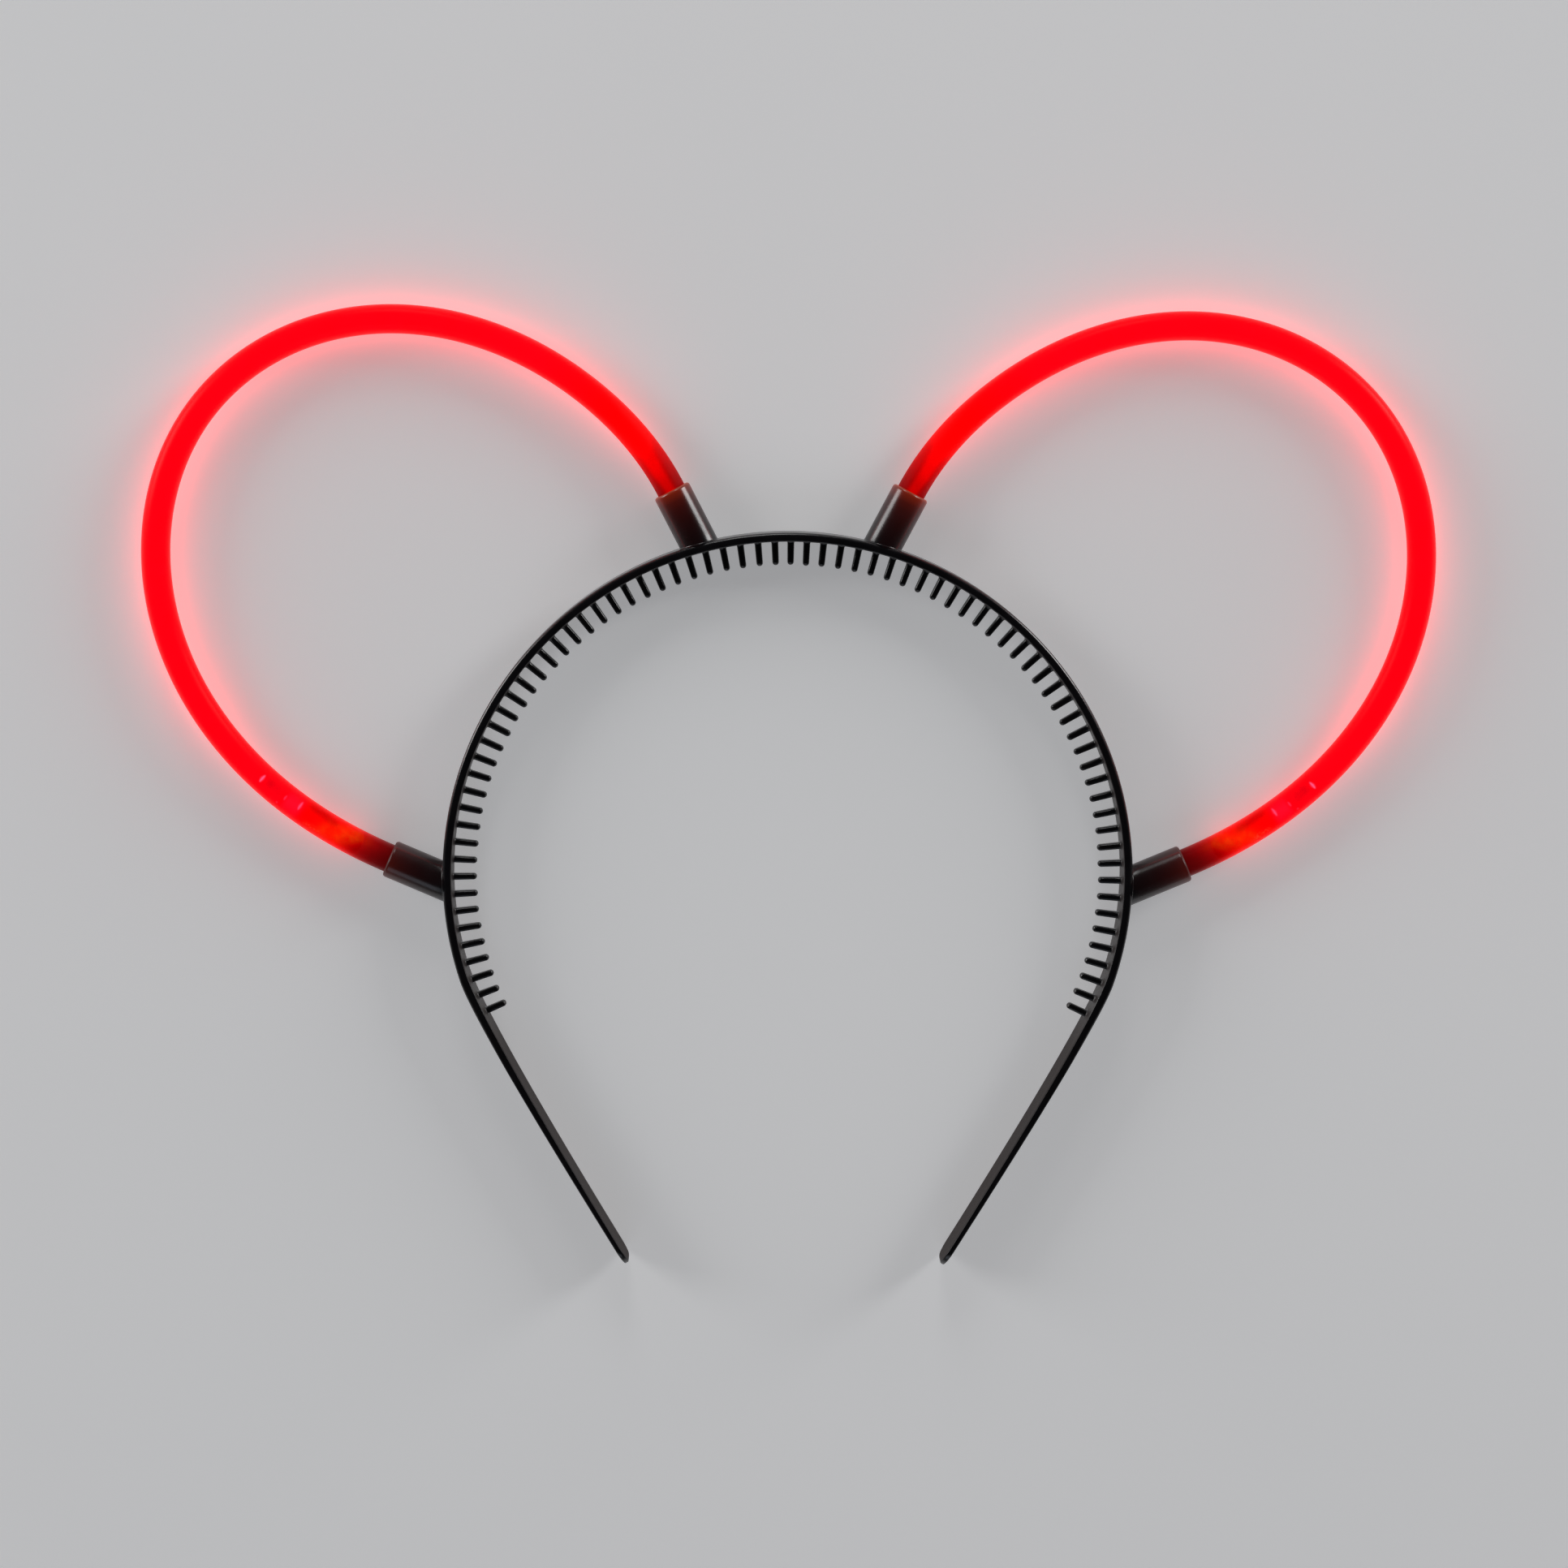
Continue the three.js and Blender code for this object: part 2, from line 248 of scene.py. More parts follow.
def band_mesh():
    flip = np.array([-1, 1])
    end = right_end()
    rows = list(reversed(end))
    first = len(rows)
    steps = (TEETH - 1) * CELLS
    pitch = math.radians(2 * TOOTH_SPREAD / steps)
    start = math.radians(90 - TOOTH_SPREAD)
    for i in range(steps + 1):
        mirror = i > steps // 2
        p, n, w = edge_section(crowd(start + pitch * (steps - i if mirror else i)))
        rows.append((p * flip, n * flip, w, DEPTH / 2, OUT_ROUND) if mirror else (p, n, w, DEPTH / 2, OUT_ROUND))
    rows += [(p * flip, n * flip, w, h, ro) for p, n, w, h, ro in end]
    verts, faces = [], []
    for p, n, w, h, ro in rows:
        sec = section(w, h, ro)
        count = len(sec)
        xy = p + sec[:, :1] * n
        verts.append(np.column_stack([xy[:, 0], xy[:, 1] + ARCH_Y, sec[:, 1] + MID]))
    verts = list(np.concatenate(verts))
    low, high = 4, 10                              # rows of the inside face a root takes up
    roots = [first + CELLS * k for k in range(TEETH)]
    taken = {(r + i, j) for r in roots for i in range(-HOLE, HOLE) for j in range(low, high)}
    at = lambda i, j: i * count + j % count
    for i in range(len(rows) - 1):
        for j in range(count):
            if (i, j) not in taken:
                faces.append((at(i, j), at(i + 1, j), at(i + 1, j + 1), at(i, j + 1)))
    faces.append(tuple(range(count))[::-1])
    faces.append(tuple(at(len(rows) - 1, j) for j in range(count)))

    # Teeth: each grows out of the inside face through a small fillet.
    T = TOOTH
    for k, r in enumerate(roots):
        theta = start + pitch * CELLS * k
        theta = crowd(theta) if k <= TEETH // 2 else math.pi - crowd(math.pi - theta)
        axis = -polar(1.0, np.array(theta))
        cross = np.array([-math.sin(theta), math.cos(theta)])
        rim = [at(r + i, low) for i in range(-HOLE, HOLE)] + [at(r + HOLE, j) for j in range(low, high)]
        rim += [at(r + i, high) for i in range(HOLE, -HOLE, -1)] + [at(r - HOLE, j) for j in range(high, low, -1)]
        rel = np.array([verts[v] for v in rim]) - [0, ARCH_Y, MID]
        u, v = rel[:, :2] @ cross, rel[:, 2]
        phi = np.arctan2(v / np.abs(v).max(), u / np.abs(u).max())
        base_r = INNER_R                           # teeth keep their length and sit on the wall wherever it runs
        floor_r = lambda uu: radius_inside(np.where(theta > math.pi / 2, math.pi - theta - uu / INNER_R, theta + uu / INNER_R)) * np.cos(uu / INNER_R)
        length = T["length"] + rng.uniform(-0.05, 0.05)
        lean = math.tan(math.radians(rng.uniform(-0.7, 0.7)))
        lean_z = math.tan(math.radians(rng.uniform(-0.6, 0.6)))
        rings = []                                 # half width, half depth, height, how closely the ring follows the wall
        for psi in (0, 30, 60, 90):
            a = math.radians(psi)
            out, h = T["fillet"] * (1 - math.sin(a)), T["fillet"] * (1 - math.cos(a))
            rings.append((T["half_w"] + out, T["half_d"] + out, h, 1.0))
        dome = length - T["tip_w"]
        for f, follow in ((0.3, 0.4), (0.6, 0.1), (0.85, 0.0), (1.0, 0.0)):
            h = T["fillet"] + (dome - T["fillet"]) * f
            rings.append((T["half_w"] + (T["tip_w"] - T["half_w"]) * f, T["half_d"] + (T["tip_d"] - T["half_d"]) * f, h, follow))
        for psi in (20, 40, 58, 74):
            a = math.radians(psi)
            rings.append((T["tip_w"] * math.cos(a), T["tip_d"] * math.cos(a), dome + T["tip_w"] * math.sin(a), 0.0))
        last = rim
        for ru, rv, h, follow in rings:
            uu = ru * np.sign(np.cos(phi)) * np.abs(np.cos(phi)) ** T["square"]
            vv = rv * np.sign(np.sin(phi)) * np.abs(np.sin(phi)) ** T["square"]
            level = follow * floor_r(uu) + (1 - follow) * base_r
            xy = -(level - h)[:, None] * axis + (uu + lean * h)[:, None] * cross
            base = len(verts)
            verts.extend(np.column_stack([xy[:, 0], xy[:, 1] + ARCH_Y, vv + lean_z * h + MID]))
            ring = list(range(base, base + len(rim)))
            for m in range(len(rim)):
                q = (m + 1) % len(rim)
                faces.append((last[m], last[q], ring[q], ring[m]))
            last = ring
        xy = -(base_r - length) * axis + lean * length * cross
        verts.append(np.array([xy[0], xy[1] + ARCH_Y, MID + lean_z * length]))
        for m in range(len(rim)):
            faces.append((last[m], last[(m + 1) % len(rim)], len(verts) - 1))
    return verts, faces


# ---------------------------------------------------------------------------
# Sockets: blind stubs whose feet follow the outside of the arch
# ---------------------------------------------------------------------------
def socket_mesh(seat, aim, sides=72):
    seat, aim = math.radians(seat), math.radians(aim)
    foot = polar(ARCH_R, np.array(seat))
    a = polar(1.0, np.array(aim))
    p = np.array([-a[1], a[0]])
    phi = np.linspace(0, 2 * math.pi, sides, endpoint=False)

    def surface(r):
        """Where lines along the socket at radius r meet the outside of the arch."""
        o = foot + (r * np.cos(phi))[:, None] * p
        b = o @ a
        return -b + np.sqrt(np.maximum(b * b - (o * o).sum(1) + ARCH_R ** 2, 0))

    rings = []                                    # radius, place along the axis for each side
    r0 = SOCKET_R + SOCKET_FILLET
    rings.append((r0, surface(r0) - 0.75))
    for psi in (0, 18, 36, 54, 72, 90):
        t = math.radians(psi)
        r = SOCKET_R + SOCKET_FILLET * (1 - math.sin(t))
        rings.append((r, surface(r) + SOCKET_FILLET * (1 - math.cos(t))))
    low, high = rings[-1][1], SOCKET_L - SOCKET_LIP - 0.15
    for f in np.linspace(0, 1, 8)[1:]:
        rings.append((SOCKET_R, low + (high - low) * f))
    mouth = [(SOCKET_R - SOCKET_LIP * (1 - math.cos(t)), SOCKET_LIP * (1 - math.sin(t))) for t in np.radians(np.linspace(0, 90, 9))]
    mouth += [(2.71, 0.012), (2.66, 0.05), (2.62, 0.13), (2.605, 0.3), (SOCKET_BORE, 2.0), (SOCKET_BORE, SOCKET_BORE_DEPTH - 0.25),
              (SOCKET_BORE - 0.07, SOCKET_BORE_DEPTH - 0.07), (SOCKET_BORE - 0.25, SOCKET_BORE_DEPTH)]
    for r, d in mouth:
        rings.append((r, np.full(sides, SOCKET_L - d)))
    verts, faces = [], []
    for r, t in rings:
        xy = foot + t[:, None] * a + (r * np.cos(phi))[:, None] * p
        verts.append(np.column_stack([xy[:, 0], xy[:, 1] + ARCH_Y, r * np.sin(phi) + MID]))
    verts = list(np.concatenate(verts))
    for i in range(len(rings) - 1):
        for j in range(sides):
            k = (j + 1) % sides
            faces.append((i * sides + j, i * sides + k, (i + 1) * sides + k, (i + 1) * sides + j))
    for i in (0, len(rings) - 1):
        ring = [i * sides + j for j in range(sides)]
        verts.append(np.mean([verts[v] for v in ring], axis=0))
        for j in range(sides):
            faces.append((ring[j], ring[(j + 1) % sides], len(verts) - 1))
    return verts, faces


def build_headband():
    body = make_object("headband_moulding", *band_mesh())
    fix_normals(body)
    verts, faces = [], []
    for seat, aim in SOCKETS.values():
        for mirror in (False, True):
            v, f = socket_mesh(180 - seat if mirror else seat, 180 - aim if mirror else aim)
            base = len(verts)
            verts += v
            faces += [tuple(base + i for i in face) for face in f]
    stubs = make_object("stubs", verts, faces)
    fix_normals(stubs)
    mod = body.modifiers.new("union", "BOOLEAN")
    mod.operation, mod.object, mod.solver = "UNION", stubs, "MANIFOLD"
    joined = bpy.data.meshes.new_from_object(body.evaluated_get(bpy.context.evaluated_depsgraph_get()))
    body.modifiers.clear()
    old, body.data = body.data, joined
    bpy.data.meshes.remove(old)
    bpy.data.objects.remove(stubs)
    joined.name = "headband_moulding"
    tidy(joined)
    joined.materials.clear()
    joined.polygons.foreach_set("material_index", [0] * len(joined.polygons))
    shade(body, 38)

    co, no = coords(joined), normals(joined)
    rel = co - [0, ARCH_Y, 0]
    dist = np.hypot(rel[:, 0], rel[:, 1])
    toward = -(no[:, 0] * rel[:, 0] + no[:, 1] * rel[:, 1]) / np.maximum(dist, 1e-6)
    face = np.maximum(smooth(INNER_R - 0.5, INNER_R - 0.1, dist), smooth(-14, -24, rel[:, 1]))
    inside = smooth(0.35, 0.8, toward) * face
    set_float(joined, "inside", inside)
    set_float(joined, "arm", inside * smooth(-20, -32, rel[:, 1]))
    # Painted glow: the sticks' red light on the sockets, painted on as emission, fading from the mouth towards the
    # foot.
    painted_glow, dull, rim = np.zeros(len(co)), np.zeros(len(co)), np.zeros(len(co))
    for key, glow_gain, matt in (("upper", 1.0, 0.25), ("lower", 0.55, 1.0)):
        for mirror in (1, -1):
            seat, aim = (math.radians(v) for v in SOCKETS[key])
            a = polar(1.0, np.array(aim))
            d = rel[:, :2] * [mirror, 1] - polar(ARCH_R, np.array(seat))
            t = d @ a
            off = np.hypot(d @ np.array([-a[1], a[0]]), co[:, 2] - MID)
            near = (off < SOCKET_R + 0.4) & (t > 0)
            painted_glow = np.maximum(painted_glow, np.where(near, glow_gain * np.exp(-(SOCKET_L - t) / 3.0), 0))
            # Painted glow ring: a brighter painted glow round the upper sockets' mouths.
            rim = np.maximum(rim, np.where(near & (key == "upper"), np.exp(-(SOCKET_L - t) / 0.5), 0))
            dull = np.maximum(dull, np.where(near, matt * smooth(SOCKET_L - 0.34, SOCKET_L - 0.16, t), 0))
    set_float(joined, "painted_glow", painted_glow)
    set_float(joined, "dull", dull)
    set_float(joined, "rim", rim)
    return body


# ---------------------------------------------------------------------------
# Glow sticks: one bent run, used by the tube and by the liquid in it
# ---------------------------------------------------------------------------
def stick_run():
    step = 0.05
    s = np.arange(0, STICK_LENGTH + step, step)
    at = (s - STICK_INSERT) / STICK_VISIBLE
    bend = np.interp(at, np.linspace(0, 1, len(BEND_RADII)), 1 / np.array(BEND_RADII))
    bend[(at < 0) | (at > 1)] = 0
    upper = math.radians(SOCKETS["upper"][1])
    head = upper + np.concatenate([[0], np.cumsum((bend[1:] + bend[:-1]) / 2 * step)])
    seat = math.radians(SOCKETS["upper"][0])
    p0 = polar(ARCH_R, np.array(seat)) + (SOCKET_L - STICK_INSERT) * polar(1.0, np.array(upper)) + [0, ARCH_Y]
    mid = (head[1:] + head[:-1]) / 2
    xy = p0 + np.concatenate([[[0, 0]], np.cumsum(polar(1.0, mid) * step, axis=0)])
    return s, xy, head


RUN_S, RUN_XY, RUN_HEAD = stick_run()


def stick_rings(stations, radii, sides, side, offset=0.0):
    """Rings round the run: vertices, with each one's place along the stick and its angle (0 inside the loop, 90 deg up)."""
    x = np.interp(stations, RUN_S, RUN_XY[:, 0])
    y = np.interp(stations, RUN_S, RUN_XY[:, 1])
    h = np.interp(stations, RUN_S, RUN_HEAD)
    phi = np.linspace(0, 2 * math.pi, sides, endpoint=False)
    radii = np.asarray(radii)
    radii = radii[:, None] * np.ones(sides) if radii.ndim == 1 else radii
    off = radii * np.cos(phi)[None, :] + np.broadcast_to(offset, len(stations))[:, None]
    px = x[:, None] - np.sin(h)[:, None] * off
    py = y[:, None] + np.cos(h)[:, None] * off
    pz = MID + radii * np.sin(phi)[None, :]
    verts = np.stack([px * (-side), py, pz], -1).reshape(-1, 3)
    return verts, np.repeat(stations, sides), np.tile(phi, len(stations))


def skin(rings, sides, base, flip):
    faces = []
    for i in range(rings - 1):
        for j in range(sides):
            k = (j + 1) % sides
            q = (base + i * sides + j, base + i * sides + k, base + (i + 1) * sides + k, base + (i + 1) * sides + j)
            faces.append(q[::-1] if flip else q)
    first = tuple(base + j for j in range(sides))
    last = tuple(base + (rings - 1) * sides + j for j in range(sides))
    faces.append(first if flip else first[::-1])
    faces.append(last[::-1] if flip else last)
    return faces


def rounded(start, end, step, end_round, extra=()):
    """Stations of a run with rounded ends, and the share of the full radius at each."""
    a = np.radians(np.linspace(12, 90, 10))
    head = start + end_round * (1 - np.cos(a))
    body = np.arange(start + end_round + step, end - end_round - step / 2, step)
    for lo, hi, fine in extra:
        body = np.concatenate([body[(body < lo) | (body > hi)], np.arange(lo, hi, fine)])
    s = np.concatenate([head, np.sort(body), (end - end_round * (1 - np.cos(a)))[::-1]])
    share = np.ones(len(s))
    for k in (s - start, end - s):
        m = k < end_round
        share[m] *= np.sqrt(np.clip(1 - ((end_round - k[m]) / end_round) ** 2, 0, 1))
    return s, share


# What a ray that enters the tube at a given share of its half width meets on the liquid: angle from the top.
_enter = np.radians(np.linspace(0, 89.9, 400))
_inside = np.arcsin(np.sin(_enter) / TUBE_IOR)
_meet = _enter + np.arcsin(np.minimum(STICK_R * np.sin(_inside) / LIQUID_R, 1)) - _inside


def across(phi):
    """Where a point of the liquid shows across the tube: -1 outside the loop, +1 inside it."""
    tilt = np.arcsin(np.clip(np.abs(np.cos(phi)), 0, 1))
    return np.sign(np.cos(phi)) * np.interp(tilt, _meet, np.sin(_enter))


# Gas bubbles near the lower end: middle along the stick, middle across it, half length, half width.
BUBBLES = ((170.9, 0.14, 1.9, 0.46), (175.4, 0.16, 1.3, 0.40), (180.2, 0.14, 3.2, 0.56))
# Painted highlights on the bubbles' ends: place along the stick, bow, middle across, half width, half thickness, green,
# blue.
GLINTS = ((169.00, 0.5, 0.12, 0.30, 0.22, 2.0, 3.9), (174.10, 0.9, 0.14, 0.20, 0.15, 0.40, 1.0),
          (176.98, 0.4, 0.30, 0.31, 0.21, 1.15, 2.5), (173.45, 0.0, -0.50, 0.08, 0.18, 0.26, 0.55))


def end_fade(s, u):
    """Brightness near the lower end, where the liquid gives way to the solid tip."""
    shift = 0.1 + 1.1 * smooth(0.05, 0.7, u) - 0.8 * hill(u, -0.35, 0.32) + 0.9 * smooth(0.7, 0.97, np.abs(u))
    return np.exp(-((np.maximum(s - shift - 181.4, 0) / 7.2) ** 2.3))


def tube_level(s, u):
    solid = smooth(184, 189, s)
    return 0.50 * (0.2 + 0.8 * smooth(3.5, 16, s)) * (1 - solid) + 0.75 * end_fade(s, u) * solid


def liquid_glow(s, phi):
    """Light given off by the liquid, along the stick and across it, with painted highlights on the bubbles' ends."""
    u = across(phi)
    start = 1.2 + 0.45 * smooth(7, 9, s) + 1.2 * smooth(12, 19, s) + 1.9 * smooth(18, 34, s)
    start = start * (1 - 0.7 * (1 - smooth(10, 18, s)) * smooth(0.35, 1.0, np.abs(np.cos(phi))))
    goal = 1.19 * end_fade(s, u) + 1.1 * (1 - smooth(150, 168, s))
    goal = goal * (1 - 0.25 * np.exp(-((s - 171.5) / 2.0) ** 4 - ((u - 0.22) / 0.45) ** 4)) * (1 - 0.12 * hill(s, 170.6, 0.55) * hill(u, 0.25, 0.30))
    seam = 0.69 - 0.08 * smooth(180.5, 183.5, s)
    goal = goal * (1 - 0.43 * hill(u, seam, 0.30) * smooth(176.8, 179.4, s) * (1 - smooth(183.2, 185.6, s)))
    red = np.where(s < 60, start, np.maximum(goal - tube_level(s, u), 0.05) / 0.365)
    pink = smooth(173.8, 175.0, s) * (1 - smooth(176.6, 178.0, s)) * hill(u, 0.12, 0.62)
    blue = 0.085 * smooth(18, 40, s) * (1 - smooth(176, 179, s)) + 0.24 * pink
    green = 0.06 * pink
    # Painted highlights on the bubbles' ends, added to the green and blue.
    for s0, bow, u0, half, thick, g, b in GLINTS:
        far = np.abs(u - u0) / half
        line = hill(s, s0 + bow * (u - u0) ** 2, thick * (1.05 - 0.55 * np.minimum(far, 1))) * (1 - smooth(0.6, 1.15, far))
        green, blue = green + g * line, blue + b * line
    return np.column_stack([red, green, blue])


def liquid_haze(s, phi):
    """Share of cloudy orange near the lower end."""
    u = across(phi)
    middle = np.interp(s, [180, 183, 185, 187, 190], [-0.60, -0.10, 0.12, 0.42, 0.68])
    edge = 188.7 + 0.5 * smooth(0.2, 0.8, u) - 1.3 * smooth(0.2, -0.5, u)
    return smooth(179.5, 185.0, s) * (1 - smooth(-0.6, 0.45, s - edge)) * hill(u, middle, 0.62 - 0.12 * smooth(186, 189, s))


def liquid_specks(s, phi):
    """Share of fine bright grains beside the longest bubble."""
    return smooth(178.4, 180, s) * (1 - smooth(182, 184, s)) * hill(across(phi), -0.52, 0.17)


def tube_glow(s, phi):
    """Light scattered by the tube's own wall."""
    level = tube_level(s, np.cos(phi))
    cloud = 0.0052 * hill(s, 189.9, 1.1) * hill(np.cos(phi), 0.62, 0.36)
    return np.column_stack([level, cloud, 0.0009 * level])


def liquid_shape(s):
    """Radius of the liquid and how far it stands to the inside of the loop: it thins out towards the upper end."""
    radius = np.interp(s, [3.0, 5.3, 9.5, 13.5, 20], [0.80, 1.00, 1.28, 1.80, LIQUID_R])
    return radius, np.interp(s, [3.0, 5.3, 9.0, 14.0, 17.0], [0.02, 0.10, 0.44, 0.10, 0.0])


def build_tube(name, side):
    """Plastic tube: a smooth outside with rounded ends, and the bore that the liquid wets."""
    s, share = rounded(0.0, STICK_LENGTH, 0.6, 1.1)
    verts, at, phi = stick_rings(s, STICK_R * share, 64, side)
    faces = skin(len(s), 64, 0, side > 0)
    s2, share2 = rounded(3.1, LIQUID_END - 0.1, 0.8, 1.4)
    radius, offset = liquid_shape(s2)
    v2, at2, phi2 = stick_rings(s2, (radius - WETTED) * share2, 40, side, offset)
    faces += skin(len(s2), 40, len(verts), side < 0)
    obj = make_object(name, np.concatenate([verts, v2]), faces)
    set_colour(obj.data, "glow", tube_glow(np.concatenate([at, at2]), np.concatenate([phi, phi2])))
    set_float(obj.data, "frost", 1 - smooth(12, 26, np.concatenate([at, at2])))
    shade(obj, 50)
    return obj


def build_liquid(name, side):
    """Shining liquid: fills the bore and carries the bubbles near the lower end."""
    sides = 72
    s, share = rounded(3.0, LIQUID_END, 0.8, 1.5, extra=((167.5, 187.0, 0.085),))
    radius, offset = liquid_shape(s)
    phi = np.linspace(0, 2 * math.pi, sides, endpoint=False)
    S, PHI = np.meshgrid(s, phi, indexing="ij")
    dent = np.zeros_like(S)
    for s0, u0, a, b in BUBBLES:
        dent += 0.10 * np.clip(1 - ((S - s0) / a) ** 2 - ((across(PHI) - u0) / b) ** 2, 0, 1) ** 0.7
    verts, at, ang = stick_rings(s, (radius * share)[:, None] - dent, sides, side, offset)
    obj = make_object(name, verts, skin(len(s), sides, 0, side > 0))
    set_colour(obj.data, "glow", liquid_glow(at, ang))
    set_float(obj.data, "haze", liquid_haze(at, ang))
    set_float(obj.data, "specks", liquid_specks(at, ang))
    shade(obj, 60)
    return obj


# ---------------------------------------------------------------------------
# Materials
# ---------------------------------------------------------------------------
class Nodes:
    def __init__(self, name):
        self.mat = bpy.data.materials.new(name)
        self.mat.use_nodes = True
        self.tree = self.mat.node_tree
        self.bsdf = self.tree.nodes["Principled BSDF"]
        self.place = self.add("ShaderNodeTexCoord").outputs["Object"]

    def add(self, kind, **values):
        node = self.tree.nodes.new(kind)
        for key, value in values.items():
            if key in node.inputs:
                node.inputs[key].default_value = value
            else:
                setattr(node, key, value)
        return node

    def link(self, a, b):
        self.tree.links.new(a, b)

    def noise(self, scale, detail=4.0, rough=0.55):
        n = self.add("ShaderNodeTexNoise", Scale=scale, Detail=detail, Roughness=rough)
        self.link(self.place, n.inputs["Vector"])
        return n.outputs["Fac"]

    def ramp(self, source, stops):
        r = self.add("ShaderNodeValToRGB")
        while len(r.color_ramp.elements) < len(stops):
            r.color_ramp.elements.new(0.5)
        for e, (pos, col) in zip(r.color_ramp.elements, stops):
            e.position, e.color = pos, (*col, 1)
        self.link(source, r.inputs["Fac"])
        return r.outputs["Color"]

    def math(self, op, *values):
        m = self.add("ShaderNodeMath", operation=op)
        for i, v in enumerate(values):
            if isinstance(v, (int, float)):
                m.inputs[i].default_value = v
            else:
                self.link(v, m.inputs[i])
        return m.outputs[0]

    def mix(self, kind, factor, a, b):
        m = self.add("ShaderNodeMix", data_type="RGBA", blend_type=kind)
        for socket, v in ((m.inputs[0], factor), (m.inputs[6], a), (m.inputs[7], b)):
            if isinstance(v, (int, float, tuple)):
                socket.default_value = v
            else:
                self.link(v, socket)
        return m.outputs[2]

    def attribute(self, name, output="Fac"):
        return self.add("ShaderNodeAttribute", attribute_name=name).outputs[output]

    def set(self, **values):
        for key, value in values.items():
            socket = self.bsdf.inputs[key.replace("_", " ")]
            if isinstance(value, (int, float, tuple)):
                socket.default_value = value
            else:
                self.link(value, socket)


def black_plastic():
    n = Nodes("black_moulded_plastic")
    big, fine = n.noise(260.0, 3.0), n.noise(5200.0, 2.0)
    inside, dull = n.attribute("inside"), n.attribute("dull")
    outer = n.ramp(big, [(0.25, (0.0050, 0.0044, 0.0056)), (0.75, (0.0090, 0.0080, 0.0096))])
    inner = n.ramp(big, [(0.25, (0.0260, 0.0180, 0.0172)), (0.75, (0.0370, 0.0260, 0.0250))])
    rough = n.math("MULTIPLY_ADD", inside, 0.22, n.math("MULTIPLY_ADD", big, 0.12, 0.17))
    rough = n.math("MULTIPLY_ADD", dull, 0.30, n.math("MULTIPLY_ADD", n.attribute("arm"), 0.46, rough))
    bump = n.add("ShaderNodeBump", Distance=0.00012)
    n.link(n.math("MULTIPLY_ADD", inside, 0.5, 0.05), bump.inputs["Strength"])
    n.link(fine, bump.inputs["Height"])
    n.set(Base_Color=n.mix("MIX", inside, outer, inner), Roughness=rough, Normal=bump.outputs["Normal"], Specular_IOR_Level=0.75,
          Emission_Strength=1.0,
          # Emission: painted glow of the sticks on the socket walls.
          Emission_Color=n.mix("ADD", 1.0, n.ramp(n.attribute("painted_glow"), [(0.0, (0.0, 0.0, 0.0)), (0.35, (0.026, 0.0016, 0.0007)), (1.0, (0.092, 0.0050, 0.0014))]),
                               # Painted glow ring round the upper mouths.
                               n.ramp(n.attribute("rim"), [(0.0, (0.0, 0.0, 0.0)), (0.35, (0.064, 0.0050, 0.0006)), (1.0, (0.18, 0.028, 0.008))])))
    n.mat.cycles.emission_sampling = "NONE"
    return n.mat


def clear_red():
    n = Nodes("clear_red_tube")
    haze = n.noise(420.0, 3.0)
    glow = n.mix("MULTIPLY", 1.0, n.attribute("glow", "Color"), n.ramp(n.noise(3200.0, 2.0), [(0.3, (0.86, 0.86, 0.86)), (0.7, (1.06, 1.06, 1.06))]))
    n.set(Base_Color=n.ramp(haze, [(0.3, (0.165, 0.0036, 0.0052)), (0.7, (0.205, 0.0044, 0.0064))]),
          Roughness=n.math("MULTIPLY_ADD", n.attribute("frost"), 0.26, n.math("MULTIPLY_ADD", haze, 0.08, 0.26)), IOR=TUBE_IOR, Transmission_Weight=0.85, Specular_IOR_Level=0.3, Specular_Tint=(0.12, 0.03, 0.03, 1.0),
          Emission_Color=glow, Emission_Strength=1.0)
    return n.mat


def shining_liquid():
    n = Nodes("shining_red_liquid")
    cloud = n.noise(300.0, 3.0)
    glow = n.mix("MULTIPLY", 1.0, n.attribute("glow", "Color"), n.ramp(cloud, [(0.3, (0.88, 0.88, 0.88)), (0.7, (1.0, 1.0, 1.0))]))
    haze = n.ramp(n.noise(700.0, 4.0, 0.55), [(0.36, (0.0, 0.17, 0.0)), (0.50, (0.0, 0.30, 0.005)), (0.64, (0.08, 0.50, 0.012))])
    specks = n.ramp(n.noise(3600.0, 2.0), [(0.52, (0.0, 0.05, 0.01)), (0.66, (0.2, 0.75, 0.28))])
    n.set(Base_Color=n.ramp(cloud, [(0.3, (0.17, 0.001, 0.002)), (0.7, (0.24, 0.002, 0.004))]), Roughness=0.35,
          Emission_Color=n.mix("ADD", n.attribute("specks"), n.mix("ADD", n.attribute("haze"), glow, haze), specks),
          Emission_Strength=1.0)
    n.mat.cycles.emission_sampling = "NONE"
    return n.mat


def pale_floor():
    n = Nodes("pale_floor")
    far = n.attribute("far")
    paint = n.ramp(n.noise(9.0, 3.0), [(0.3, (0.87, 0.87, 0.872)), (0.7, (0.89, 0.89, 0.891))])
    n.set(Base_Color=n.mix("MIX", far, paint, (0.0, 0.0, 0.0, 1.0)), Roughness=0.85, Specular_IOR_Level=0.0,
          Emission_Color=(0.98, 0.98, 1.0, 1.0), Emission_Strength=n.attribute("shine"))
    n.mat.cycles.emission_sampling = "NONE"
    return n.mat


# ---------------------------------------------------------------------------
# Assembly
# ---------------------------------------------------------------------------
def put(obj, material, node):
    obj.data.materials.append(material)
    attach(obj, "root")
    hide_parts(node)


put(build_headband(), black_plastic(), "headband")
tube_mat, liquid_mat = clear_red(), shining_liquid()
for hand, side in (("left", -1), ("right", 1)):
    put(build_tube(f"ear_tube_{hand}", side), tube_mat, f"glow_tube_{hand}")
    put(build_liquid(f"ear_liquid_{hand}", side), liquid_mat, f"glow_fluid_{hand}")

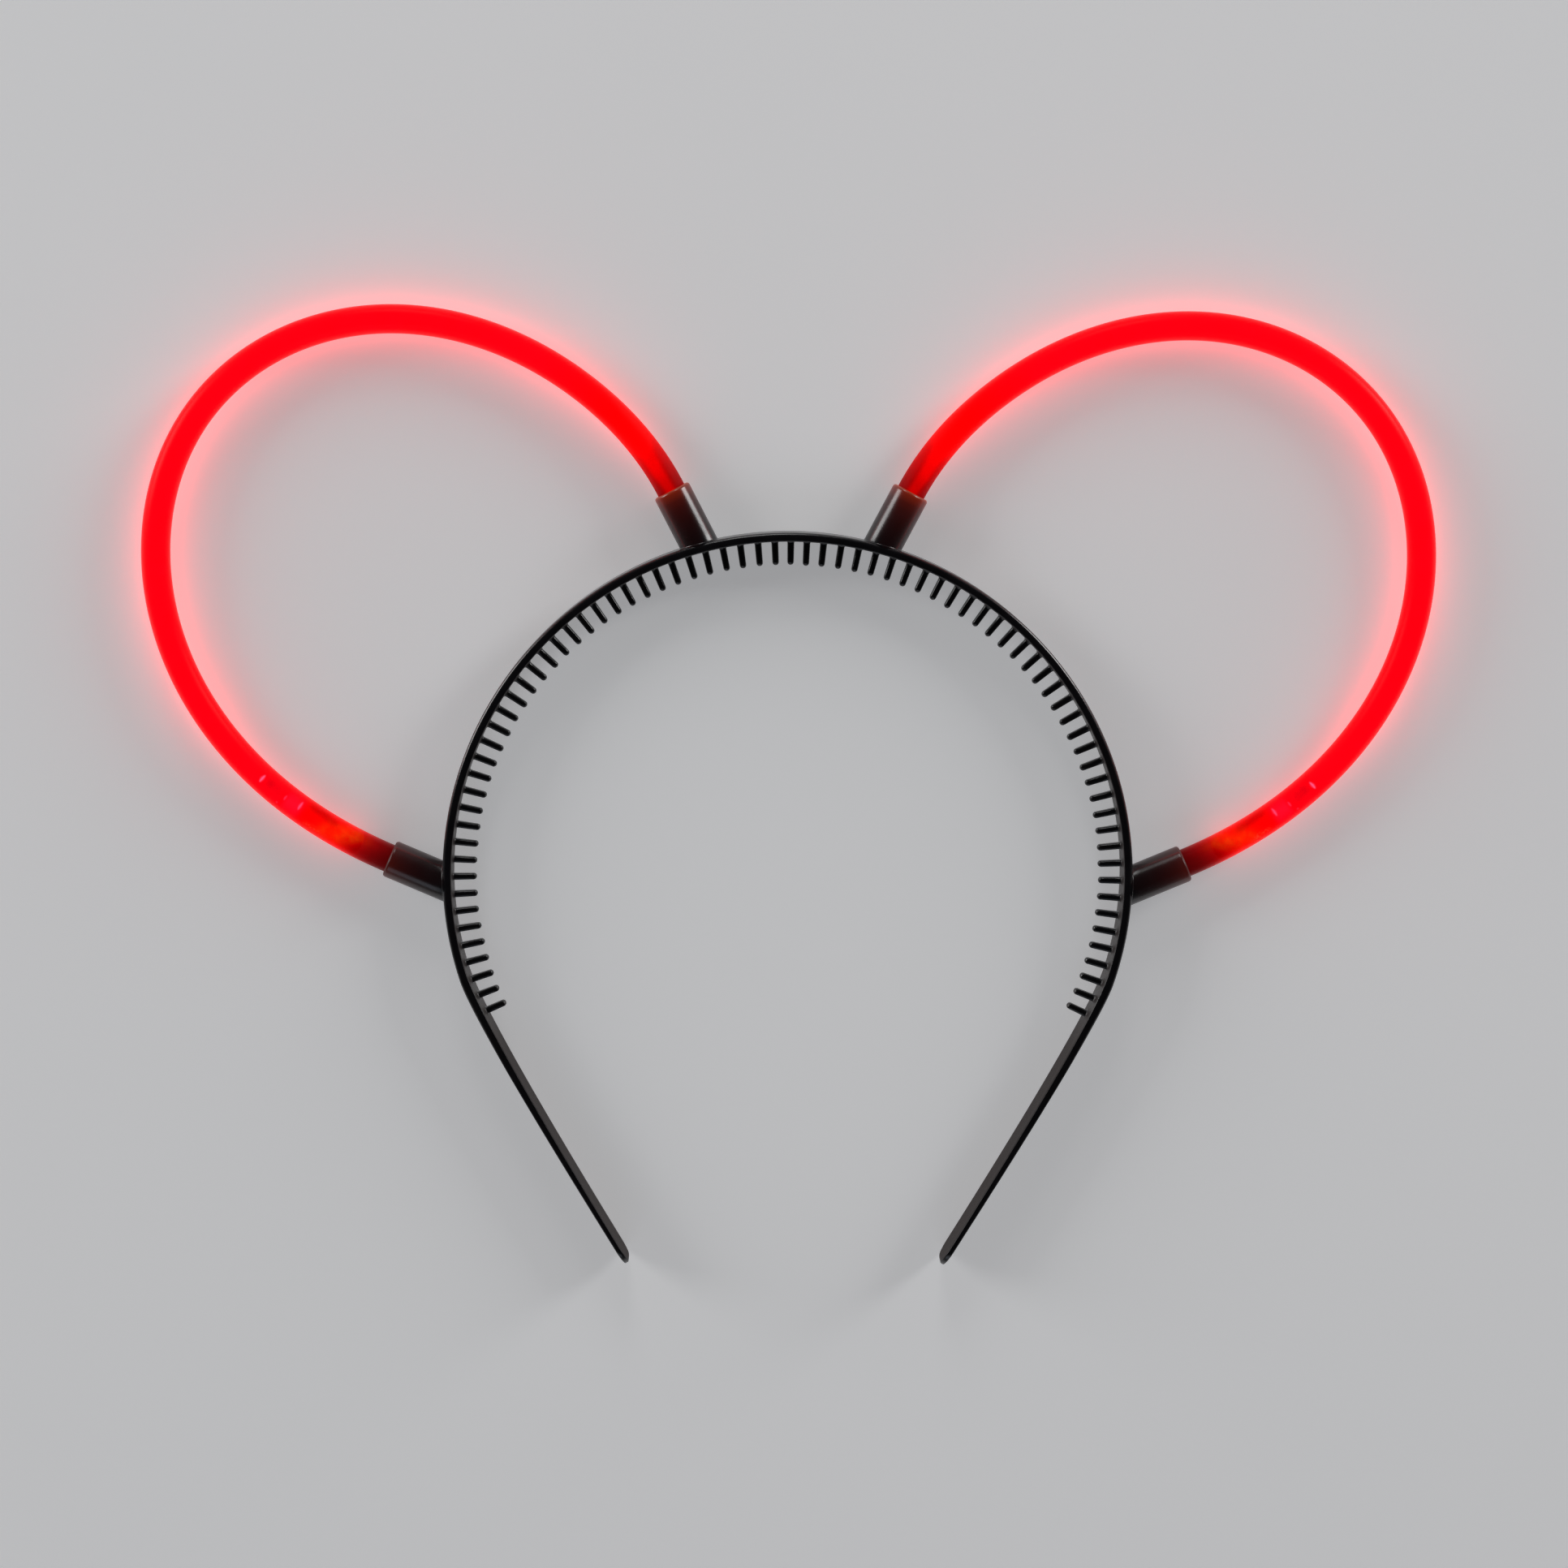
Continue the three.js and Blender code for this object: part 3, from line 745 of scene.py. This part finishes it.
# ---------------------------------------------------------------------------
# Stage: pale floor, soft light, camera
# ---------------------------------------------------------------------------
FLOOR_RINGS = (0.2, 0.3, 0.36, 0.42, 0.48, 0.54, 0.6, 0.66, 0.72, 1.0, 1.4, 2.0, 3.0, 4.5, 7.0, 12.0, 20.0)     # radii, m
FLOOR_TURNS = 96
floor_r = np.concatenate([[0.0], np.repeat(FLOOR_RINGS, FLOOR_TURNS)])
floor_t = np.concatenate([[0.0], np.tile(np.arange(FLOOR_TURNS) * 2 * math.pi / FLOOR_TURNS, len(FLOOR_RINGS))])
floor_faces = [(0, 1 + i, 1 + (i + 1) % FLOOR_TURNS) for i in range(FLOOR_TURNS)]
for ring in range(len(FLOOR_RINGS) - 1):
    a, b = 1 + ring * FLOOR_TURNS, 1 + (ring + 1) * FLOOR_TURNS
    floor_faces += [(a + i, b + i, b + (i + 1) % FLOOR_TURNS, a + (i + 1) % FLOOR_TURNS) for i in range(FLOOR_TURNS)]
floor_mesh = bpy.data.meshes.new("floor")
floor_mesh.from_pydata(np.column_stack([floor_r * np.cos(floor_t), floor_r * np.sin(floor_t), 0 * floor_r]).tolist(), [], floor_faces)
floor_far = smooth(0.28, 0.72, floor_r)
set_float(floor_mesh, "far", floor_far)
set_float(floor_mesh, "shine", 0.29 * (1 - floor_far) + floor_far * (0.49 - 0.14 * smooth(0, 2, np.log(np.maximum(floor_r, 1.0)))))
floor = bpy.data.objects.new("floor", floor_mesh)
bpy.context.scene.collection.objects.link(floor)
floor_mesh.materials.append(pale_floor())


def softbox(name, turn, rise, away, size, watts, colour=(1.0, 1.0, 1.0)):
    """Soft light at an angle round the object and above the floor (deg), aimed at the middle."""
    light = bpy.data.lights.new(name, "AREA")
    light.shape, light.size, light.size_y, light.energy, light.color = "RECTANGLE", *size, watts, colour
    obj = bpy.data.objects.new(name, light)
    turn, rise = math.radians(turn), math.radians(rise)
    place = Vector((math.cos(turn) * math.cos(rise), math.sin(turn) * math.cos(rise), math.sin(rise))) * away
    obj.location = place
    obj.rotation_euler = (-place).to_track_quat("-Z", "Y").to_euler()
    obj.visible_camera = False
    bpy.context.scene.collection.objects.link(obj)


softbox("box_left", 158, 14, 1.6, (0.66, 0.74), 8.8)
softbox("box_right", 33, 14, 1.6, (0.42, 0.74), 8.6)
softbox("box_front", 262, 34, 2.0, (1.5, 0.9), 2.7, (0.80, 0.88, 1.0))
softbox("box_back", 95, 20, 1.6, (0.45, 0.48), 3.0)

world = bpy.data.worlds.new("studio")
bpy.context.scene.world = world
world.use_nodes = True
tree = world.node_tree
way, part, shades = (tree.nodes.new(k) for k in ("ShaderNodeTexCoord", "ShaderNodeSeparateXYZ", "ShaderNodeValToRGB"))
tree.links.new(way.outputs["Generated"], part.inputs[0])
tree.links.new(part.outputs["Z"], shades.inputs["Fac"])
stops = ((0.0, 0.34), (0.14, 0.13), (0.50, 0.03), (0.90, 0.008))
while len(shades.color_ramp.elements) < len(stops):
    shades.color_ramp.elements.new(0.5)
for e, (pos, v) in zip(shades.color_ramp.elements, stops):
    e.position, e.color = pos, (v, v, v, 1)
tree.links.new(shades.outputs["Color"], tree.nodes["Background"].inputs["Color"])

cam = bpy.data.cameras.new("camera")
cam.lens, cam.sensor_width = 74.61, 36.0
cam.clip_start, cam.clip_end = 0.01, 20.0
camera = bpy.data.objects.new("camera", cam)
bpy.context.scene.collection.objects.link(camera)
axes = Matrix(((0.99983, -0.00645, -0.01733), (0.00865, 0.99146, 0.13010), (0.01634, -0.13023, 0.99135)))
pose = axes.to_quaternion().normalized().to_matrix().to_4x4()
pose.translation = Vector((-10.444, 74.193, 555.241)) * MM
camera.matrix_world = pose
bpy.context.scene.camera = camera
bpy.context.scene.view_settings.view_transform = "Standard"
bpy.context.scene.view_settings.look = "None"
